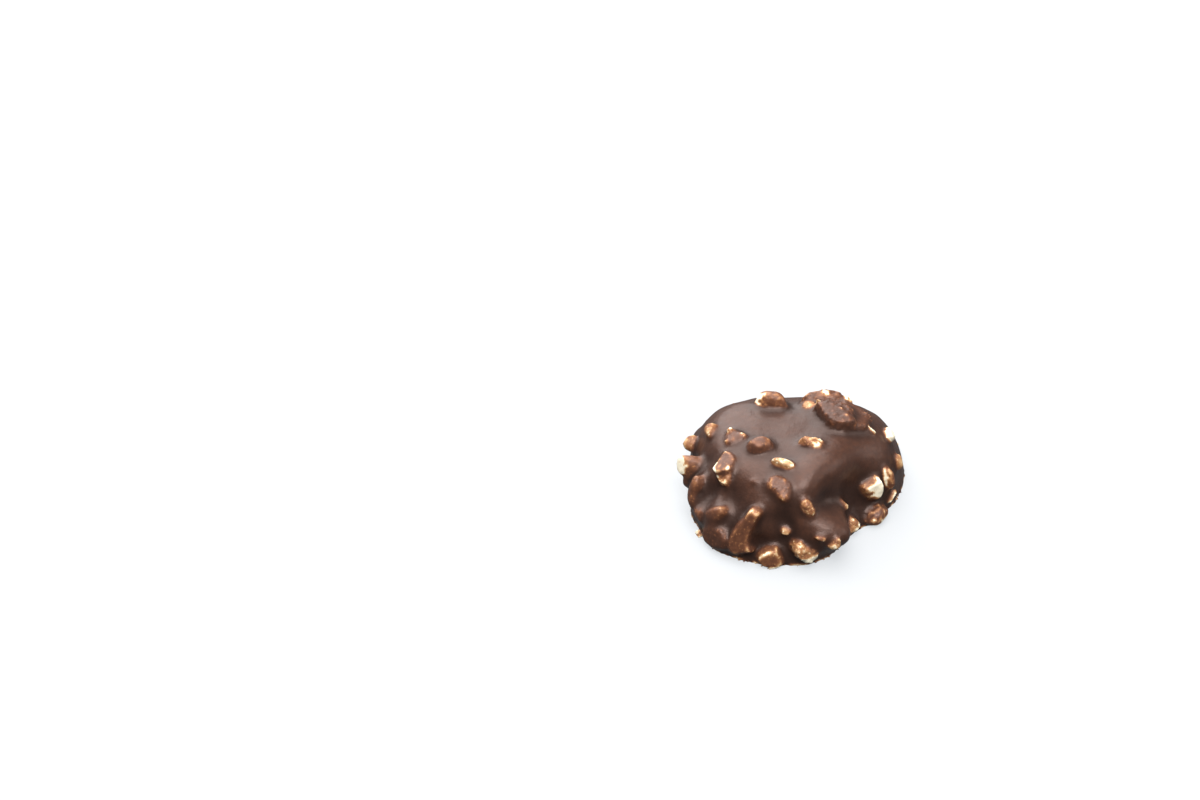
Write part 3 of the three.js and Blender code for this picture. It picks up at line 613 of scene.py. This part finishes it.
def makeCrumb(first, draw, tree):
    obj = first.copy()
    obj.data = first.data.copy()
    bpy.context.collection.objects.link(obj)
    length = lerp(crumb["lengths"], draw() ** 2)
    size = [length, length * lerp(crumb["slenderness"], draw()), length * lerp(crumb["flatness"], draw())]
    for vertex in obj.data.vertices:
        vertex.co *= 1 + crumb["raggedness"] * (2 * draw() - 1)
    obj.data.transform(Matrix.Rotation(2 * math.pi * draw(), 4, "Z") @ Matrix.Diagonal((*size, 1)))
    stretch = crumb["stretches"][int(len(crumb["stretches"]) * draw())]
    angle = math.radians(lerp(stretch, draw()))
    outwards = Vector((math.cos(angle), math.sin(angle), 0))
    lowest = min(vertex.co.z for vertex in obj.data.vertices)
    start = Vector((*dough["centre"], -lowest / mm)) * mm + outwards * crumb["outside"] * mm
    edge, _, _, _ = tree.ray_cast(start, -outwards)
    edge += outwards * (0.5 - crumb["sunk"]) * length * mm
    edge.z = -lowest
    obj.data.transform(Matrix.Translation(edge))
    writeThinness(obj, np.full(len(obj.data.vertices), lerp(crumb["thin"], draw())))
    return obj


bpy.ops.object.select_all(action="DESELECT")
bpy.ops.mesh.primitive_ico_sphere_add(subdivisions=1, radius=0.5 * mm)
firstCrumb = bpy.context.object
skinTree, _ = treeOf([skin])
draw = randomFrom(crumb["seed"])
crumbs = joinAll([makeCrumb(firstCrumb, draw, skinTree) for _ in range(crumb["count"])], "crumbs")
selectOnly(firstCrumb)
bpy.ops.object.delete()
print("crumbs", len(crumbs.data.polygons), "faces")

# the coat's material: thick chocolate, thin chocolate over almond, and bare almond

finishOf = {
    "colours": [  # thinness, and the colour there
        (0.0, (0.013, 0.006, 0.0042)),
        (0.1, (0.027, 0.012, 0.008)),
        (0.2, (0.042, 0.018, 0.0115)),
        (0.36, (0.080, 0.031, 0.017)),
        (0.5, (0.145, 0.056, 0.027)),
        (0.68, (0.310, 0.138, 0.056)),
        (0.84, (0.560, 0.370, 0.195)),
        (0.96, (0.800, 0.720, 0.550)),
    ],
    "roughness": [(0.0, 0.38), (0.35, 0.36), (0.7, 0.4), (0.9, 0.6)],
    "unevenness": 0.2,  # how much the roughness varies
    "patchiness": 0.5,
    "patchSize": 1.1,
    "cloudiness": 0.1,  # how much the thick chocolate varies
    "grain": 0.25,
    "grainSize": 0.25,
    "grainDepth": 0.03,
    "flecks": 0.2,  # little spots where the chocolate has run off the almond
    "fleckSize": 0.5,
    "fleckRim": (0.6, 0.7),
    "fleckedFrom": (0.14, 0.25),  # thinness from which there are flecks
    "lumpSize": 1.6,
    "lumpDepth": 0.12,
    "gloss": 0.42,
    "glossTint": (1, 0.75, 0.67),
}


def linkRamp(nodes, links, source, stops, asColour=True):
    ramp = nodes.new("ShaderNodeValToRGB")
    elements = ramp.color_ramp.elements
    while len(elements) < len(stops):
        elements.new(0.5)
    for element, (place, value) in zip(elements, stops):
        element.position = place
        element.color = (*value, 1) if asColour else (value, value, value, 1)
    links.new(source, ramp.inputs["Fac"])
    return ramp.outputs["Color"]


def makeChocolate():
    material = bpy.data.materials.new("chocolate")
    material.use_nodes = True
    nodes, links = material.node_tree.nodes, material.node_tree.links
    shader = nodes["Principled BSDF"]
    where = nodes.new("ShaderNodeTexCoord").outputs["Object"]

    def mottle(size, detail):
        node = nodes.new("ShaderNodeTexNoise")
        node.inputs["Scale"].default_value = 1 / (size * mm)
        node.inputs["Detail"].default_value = detail
        links.new(where, node.inputs["Vector"])
        return node.outputs["Fac"]

    def combine(operation, a, b, clamp=False):
        node = nodes.new("ShaderNodeMath")
        node.operation = operation
        node.use_clamp = clamp
        for socket, value in zip(node.inputs, (a, b)):
            if isinstance(value, (int, float)):
                socket.default_value = value
            else:
                links.new(value, socket)
        return node.outputs[0]

    def step(value, low, high, top=1.0):
        node = nodes.new("ShaderNodeMapRange")
        node.interpolation_type = "SMOOTHSTEP"
        for name, number in (("From Min", low), ("From Max", high), ("To Max", top)):
            node.inputs[name].default_value = number
        links.new(value, node.inputs["Value"])
        return node.outputs["Result"]

    def bump(height, depth, under=None):
        node = nodes.new("ShaderNodeBump")
        node.inputs["Strength"].default_value = 1
        node.inputs["Distance"].default_value = depth * mm
        links.new(height, node.inputs["Height"])
        if under:
            links.new(under, node.inputs["Normal"])
        return node.outputs["Normal"]

    def wobble(values, depth):  # noise from 0 to 1, turned into a swing round zero
        return combine("MULTIPLY", combine("SUBTRACT", values, 0.5), depth)

    # the thin attribute also carries the painted shade in valleys and the painted light on swells
    attribute = nodes.new("ShaderNodeAttribute")
    attribute.attribute_name = "thin"
    thin = attribute.outputs["Fac"]
    patches, grain = mottle(finishOf["patchSize"], detail=3), mottle(finishOf["grainSize"], detail=4)
    spots, lumps = mottle(finishOf["fleckSize"], detail=2), mottle(finishOf["lumpSize"], detail=3)
    varied = combine("ADD", wobble(patches, finishOf["patchiness"]), wobble(grain, finishOf["grain"]))
    weight = combine("MULTIPLY", thin, combine("ADD", varied, 1))
    flecks = step(spots, *finishOf["fleckRim"], finishOf["flecks"])
    flecks = combine("MULTIPLY", flecks, step(thin, *finishOf["fleckedFrom"]))
    clouds = combine("MULTIPLY", patches, finishOf["cloudiness"])
    weight = combine("ADD", combine("ADD", weight, flecks), clouds, clamp=True)
    links.new(linkRamp(nodes, links, weight, finishOf["colours"]), shader.inputs["Base Color"])
    rough = linkRamp(nodes, links, weight, finishOf["roughness"], False)
    links.new(combine("ADD", rough, wobble(grain, finishOf["unevenness"])), shader.inputs["Roughness"])
    lumpy = bump(lumps, finishOf["lumpDepth"])
    links.new(bump(grain, finishOf["grainDepth"], lumpy), shader.inputs["Normal"])
    shader.inputs["Specular IOR Level"].default_value = finishOf["gloss"]
    shader.inputs["Specular Tint"].default_value = (*finishOf["glossTint"], 1)
    return material


chocolate = makeChocolate()
for obj in (skin, crumbs):
    obj.data.materials.clear()
    obj.data.materials.append(chocolate)
    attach(obj, "root")
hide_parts("gingerbread")
print("chocolate finished")

# floor, light and camera

studio = {
    "floorSize": 3.0,
    "floorColour": (0.165, 0.1655, 0.166),
    "floorRoughness": 0.9,
    "floorGlow": 0.6,  # the white acrylic is lit from below
    "worldColour": (0.93, 0.965, 1),
    "worldStrength": 0.22,
    "softboxes": [  # name, place, size, power in watts
        ("backSoftbox", (-0.5, 0.78, 0.62), (1.6, 1.0), 20),
        ("topSoftbox", (-0.05, 0, 1.0), (1.4, 1.1), 22),
        ("frontSoftbox", (0, -0.6, 0.9), (0.6, 0.4), 8),
        ("rightSoftbox", (0.9, -0.1, 0.45), (0.8, 0.6), 3),
    ],
    "camera": (-0.04142, -0.46945, 0.39304),
    "pitch": 38,  # degrees below level
    "lens": 85,
    "sensor": 36,
    "clipStart": 0.01,
}

bpy.ops.object.select_all(action="DESELECT")
bpy.ops.mesh.primitive_plane_add(size=studio["floorSize"])
floor = bpy.context.object
floor.name = "floor"
acrylic = bpy.data.materials.new("whiteAcrylic")
acrylic.use_nodes = True
acrylicShader = acrylic.node_tree.nodes["Principled BSDF"]
acrylicShader.inputs["Base Color"].default_value = (*studio["floorColour"], 1)
acrylicShader.inputs["Roughness"].default_value = studio["floorRoughness"]
acrylicShader.inputs["Specular IOR Level"].default_value = 0
acrylicShader.inputs["Emission Color"].default_value = (*studio["worldColour"], 1)
acrylicShader.inputs["Emission Strength"].default_value = studio["floorGlow"]
floor.data.materials.append(acrylic)
floor.visible_glossy = floor.visible_diffuse = False  # flagged off, so the flanks stay dark

world = bpy.data.worlds.new("studio")
bpy.context.scene.world = world
world.use_nodes = True
world.node_tree.nodes["Background"].inputs["Color"].default_value = (*studio["worldColour"], 1)
world.node_tree.nodes["Background"].inputs["Strength"].default_value = studio["worldStrength"]

for name, location, size, power in studio["softboxes"]:
    aim = (-Vector(location)).to_track_quat("-Z", "Y").to_euler()
    bpy.ops.object.light_add(type="AREA", location=location, rotation=aim)
    lamp = bpy.context.object
    lamp.name = name
    lamp.data.shape = "RECTANGLE"
    lamp.data.size, lamp.data.size_y = size
    lamp.data.energy = power

bpy.ops.object.camera_add(location=studio["camera"], rotation=(math.radians(90 - studio["pitch"]), 0, 0))
camera = bpy.context.object
camera.data.lens = studio["lens"]
camera.data.sensor_width = studio["sensor"]
camera.data.clip_start = studio["clipStart"]
bpy.context.scene.camera = camera
bpy.context.scene.view_settings.view_transform = "Standard"
print("studio ready")
